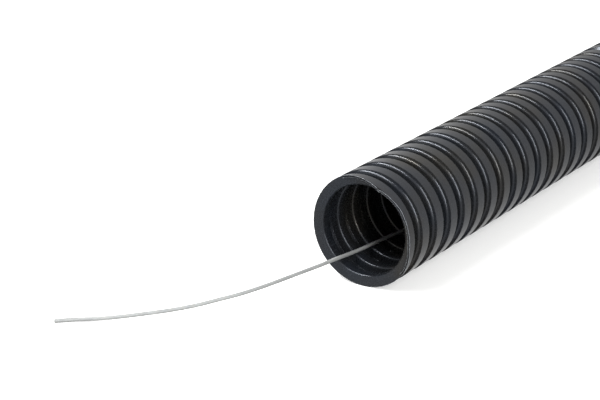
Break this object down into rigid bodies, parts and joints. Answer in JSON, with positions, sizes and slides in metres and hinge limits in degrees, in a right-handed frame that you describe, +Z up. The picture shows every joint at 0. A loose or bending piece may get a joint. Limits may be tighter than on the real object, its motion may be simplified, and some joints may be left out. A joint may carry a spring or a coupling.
{
  "type": "corrugated cable conduit",
  "caption": "Straight cut length of pliable plastic conduit with parallel ring corrugations, an oblique hand-cut mouth, and a bare steel draw wire through its bore.",
  "frame": {"origin": "middle of the conduit's underside, halfway along its length, on the surface it lies on", "axes": "+X along the conduit from its hand-cut mouth to its square end, +Z up"},
  "size_m": [1.0823, 0.0547, 0.025],
  "materials": {
    "conduit_plastic": "satin charcoal-black polyethylene",
    "wire_steel": "drawn bare steel"
  },
  "bodies": {
    "root": {"conduit": "conduit_plastic", "draw_wire": "wire_steel"}
  },
  "joints": []
}
